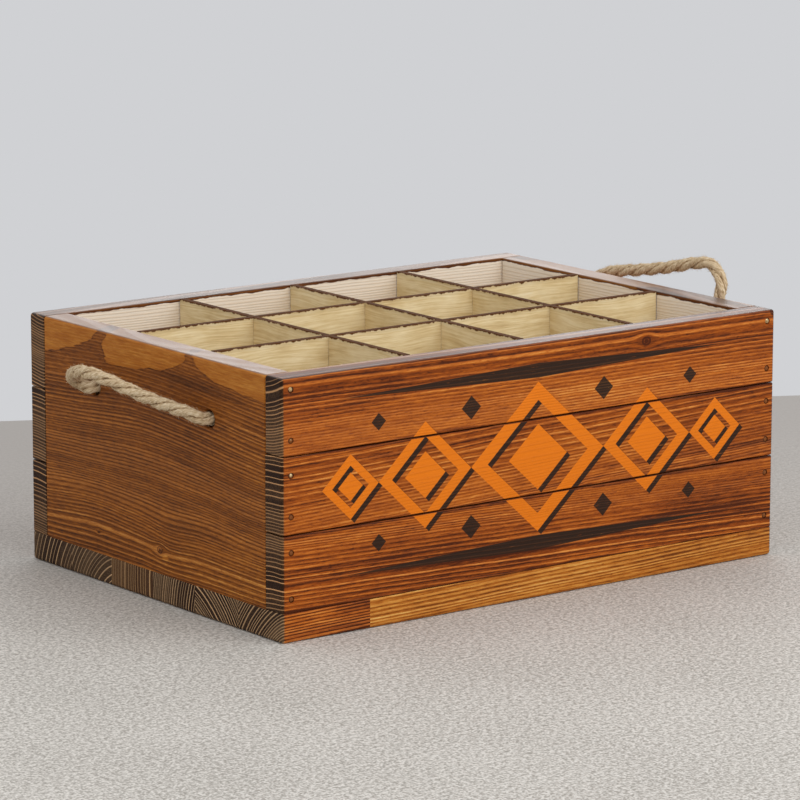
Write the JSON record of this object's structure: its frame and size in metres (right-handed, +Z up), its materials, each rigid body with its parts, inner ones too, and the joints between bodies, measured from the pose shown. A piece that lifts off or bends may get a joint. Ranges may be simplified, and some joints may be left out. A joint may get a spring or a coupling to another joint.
{
  "type": "bottle caddy",
  "caption": "Stained pine bottle crate with planked long walls, solid ends, rope handles through the ends and a lift-out grid of thin dividers.",
  "frame": {"origin": "centre of the crate's footprint, on the underside of its base", "axes": "+X along the crate's length towards the right end, +Y from the printed front to the back, +Z up"},
  "size_m": [0.4356, 0.275, 0.1812],
  "materials": {
    "stained_pine": "stained and waxed, satin",
    "pale_plywood": "bare, with burnt cut edges",
    "brassed_pin": "dull",
    "steel_screw": "zinc plated",
    "jute_rope": "three-strand twisted natural fibre"
  },
  "bodies": {
    "crate": {"base_stave_1_left": "stained_pine", "base_stave_1_right": "stained_pine", "base_stave_2": "stained_pine", "base_stave_3": "stained_pine", "base_stave_4": "stained_pine", "base_stave_5": "stained_pine", "base_stave_6": "stained_pine", "front_plank_bottom": "stained_pine", "front_plank_middle": "stained_pine", "front_plank_top": "stained_pine", "back_plank_bottom": "stained_pine", "back_plank_middle": "stained_pine", "back_plank_top": "stained_pine", "end_board_left": "stained_pine", "end_board_right": "stained_pine", "front_wall_pins": "brassed_pin", "back_wall_pins": "brassed_pin", "base_screws": "steel_screw", "rope_end_left_front": "jute_rope", "rope_end_left_rear": "jute_rope", "rope_end_right_front": "jute_rope", "rope_end_right_rear": "jute_rope"},
    "divider_insert": {"cross_divider_1": "pale_plywood", "cross_divider_2": "pale_plywood", "cross_divider_3": "pale_plywood", "long_divider_1": "pale_plywood", "long_divider_2": "pale_plywood"},
    "rope_handle_left": {"rope_loop_left": "jute_rope"},
    "rope_handle_right": {"rope_loop_right": "jute_rope"}
  },
  "joints": [
    {"name": "insert_lift", "type": "slide", "parent": "crate", "child": "divider_insert", "axis": [0, 0, 1], "range_m": [0, 0.15]},
    {"name": "left_handle_swing", "type": "hinge", "parent": "crate", "child": "rope_handle_left", "pos_m": [-0.1976, 0, 0.124], "axis": [0, 1, 0], "range_deg": [-127, 51]},
    {"name": "right_handle_swing", "type": "hinge", "parent": "crate", "child": "rope_handle_right", "pos_m": [0.1976, 0, 0.124], "axis": [0, -1, 0], "range_deg": [-168, 10]}
  ]
}
